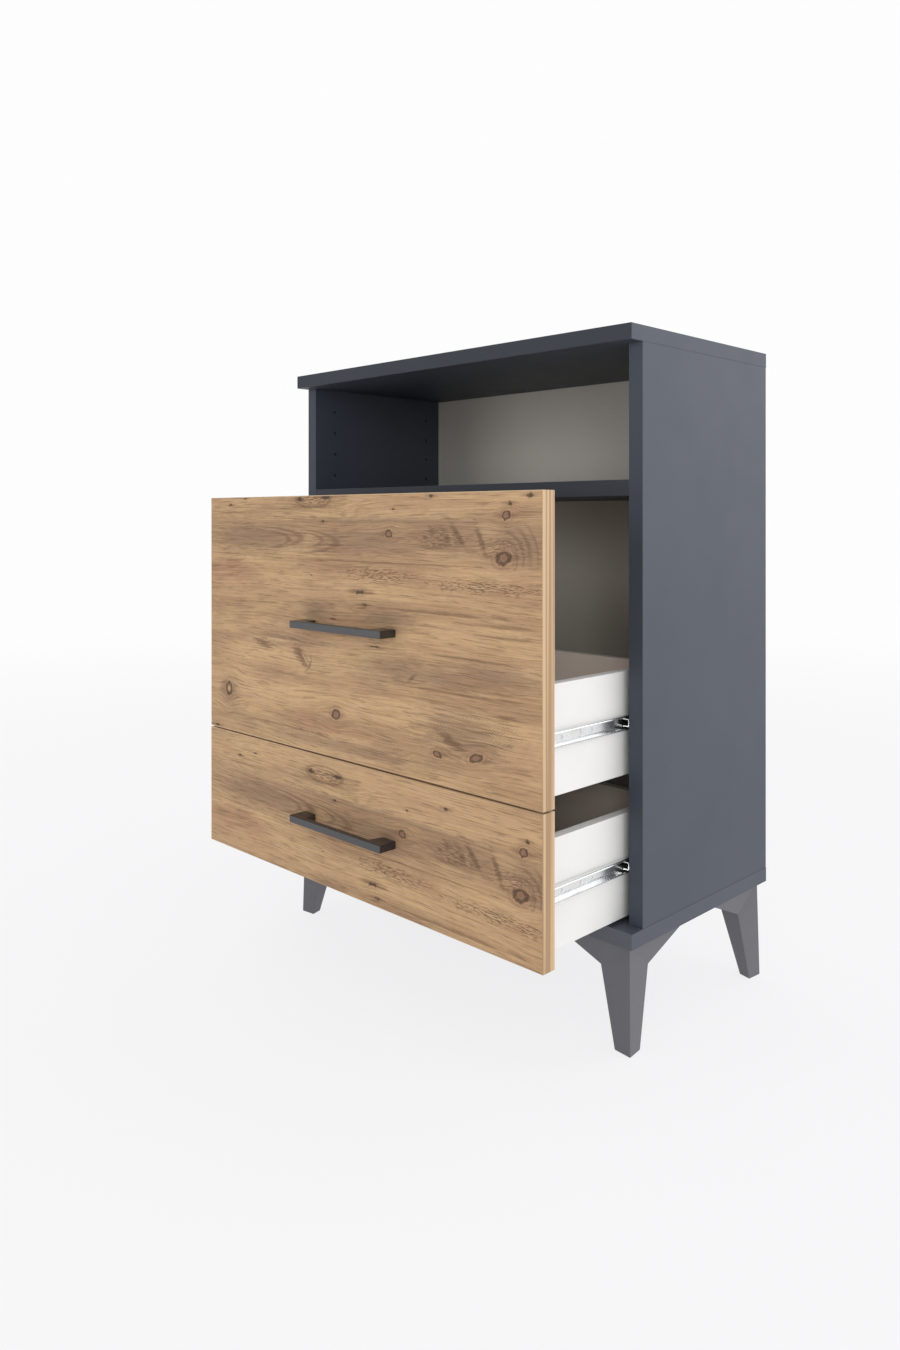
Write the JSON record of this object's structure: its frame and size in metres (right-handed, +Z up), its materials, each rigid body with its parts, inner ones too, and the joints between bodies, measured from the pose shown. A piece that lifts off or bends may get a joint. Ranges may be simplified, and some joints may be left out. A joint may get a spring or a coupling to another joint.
{
  "type": "nightstand",
  "caption": "Tall nightstand: open niche above overlay drawers on ball-bearing slides, rustic pine-look fronts with bar handles, anthracite carcass on faceted splayed legs.",
  "frame": {"origin": "on the floor, under the middle of the cabinet's top and bottom panels", "axes": "+Z up, -Y towards the front where the drawers open, +X to the right seen from the front"},
  "size_m": [0.6, 0.472, 0.8],
  "materials": {
    "anthracite_board": "satin",
    "taupe_hardboard": "matte",
    "white_board": "satin",
    "pine_laminate": "satin",
    "pine_edge_band": "satin",
    "leg_plastic": "satin",
    "handle_paint": "satin",
    "zinc_steel": "satin",
    "cage_steel": "satin",
    "bearing_steel": "polished",
    "screw_steel": "satin",
    "beech_dowel": "matte"
  },
  "bodies": {
    "cabinet": {"back_panel": "taupe_hardboard", "bottom_panel": "anthracite_board", "carcass_dowels": "beech_dowel", "front_left_leg": "leg_plastic", "front_right_leg": "leg_plastic", "left_side_panel": "anthracite_board", "lower_left_cabinet_rail": "zinc_steel", "lower_right_cabinet_rail": "zinc_steel", "niche_shelf": "anthracite_board", "rear_left_leg": "leg_plastic", "rear_right_leg": "leg_plastic", "right_side_panel": "anthracite_board", "top_panel": "anthracite_board", "upper_left_cabinet_rail": "zinc_steel", "upper_right_cabinet_rail": "zinc_steel"},
    "upper_drawer": {"upper_drawer_back": "white_board", "upper_drawer_bottom": "taupe_hardboard", "upper_drawer_dowels": "beech_dowel", "upper_drawer_left_side": "white_board", "upper_drawer_right_side": "white_board", "upper_front": "pine_laminate", "upper_front_edge_band": "pine_edge_band", "upper_handle": "handle_paint", "upper_handle_screws": "screw_steel", "upper_left_drawer_channel": "zinc_steel", "upper_right_drawer_channel": "zinc_steel"},
    "lower_drawer": {"lower_drawer_back": "white_board", "lower_drawer_bottom": "taupe_hardboard", "lower_drawer_dowels": "beech_dowel", "lower_drawer_left_side": "white_board", "lower_drawer_right_side": "white_board", "lower_front": "pine_laminate", "lower_front_edge_band": "pine_edge_band", "lower_handle": "handle_paint", "lower_handle_screws": "screw_steel", "lower_left_drawer_channel": "zinc_steel", "lower_right_drawer_channel": "zinc_steel"},
    "upper_slide_cages": {"upper_ball_cages": "cage_steel", "upper_bearing_balls": "bearing_steel"},
    "lower_slide_cages": {"lower_ball_cages": "cage_steel", "lower_bearing_balls": "bearing_steel"}
  },
  "joints": [
    {"name": "upper_drawer_slide", "type": "slide", "parent": "cabinet", "child": "upper_drawer", "axis": [0, -1, 0], "range_m": [-0.15, 0.03]},
    {"name": "upper_cage_roll", "type": "slide", "parent": "cabinet", "child": "upper_slide_cages", "axis": [0, -1, 0], "range_m": [-0.075, 0.015]},
    {"name": "lower_drawer_slide", "type": "slide", "parent": "cabinet", "child": "lower_drawer", "axis": [0, -1, 0], "range_m": [-0.15, 0.03]},
    {"name": "lower_cage_roll", "type": "slide", "parent": "cabinet", "child": "lower_slide_cages", "axis": [0, -1, 0], "range_m": [-0.075, 0.015]}
  ],
  "couplings": [
    {"joint": "upper_cage_roll", "follows": "upper_drawer_slide", "ratio": 0.5},
    {"joint": "lower_cage_roll", "follows": "lower_drawer_slide", "ratio": 0.5}
  ]
}
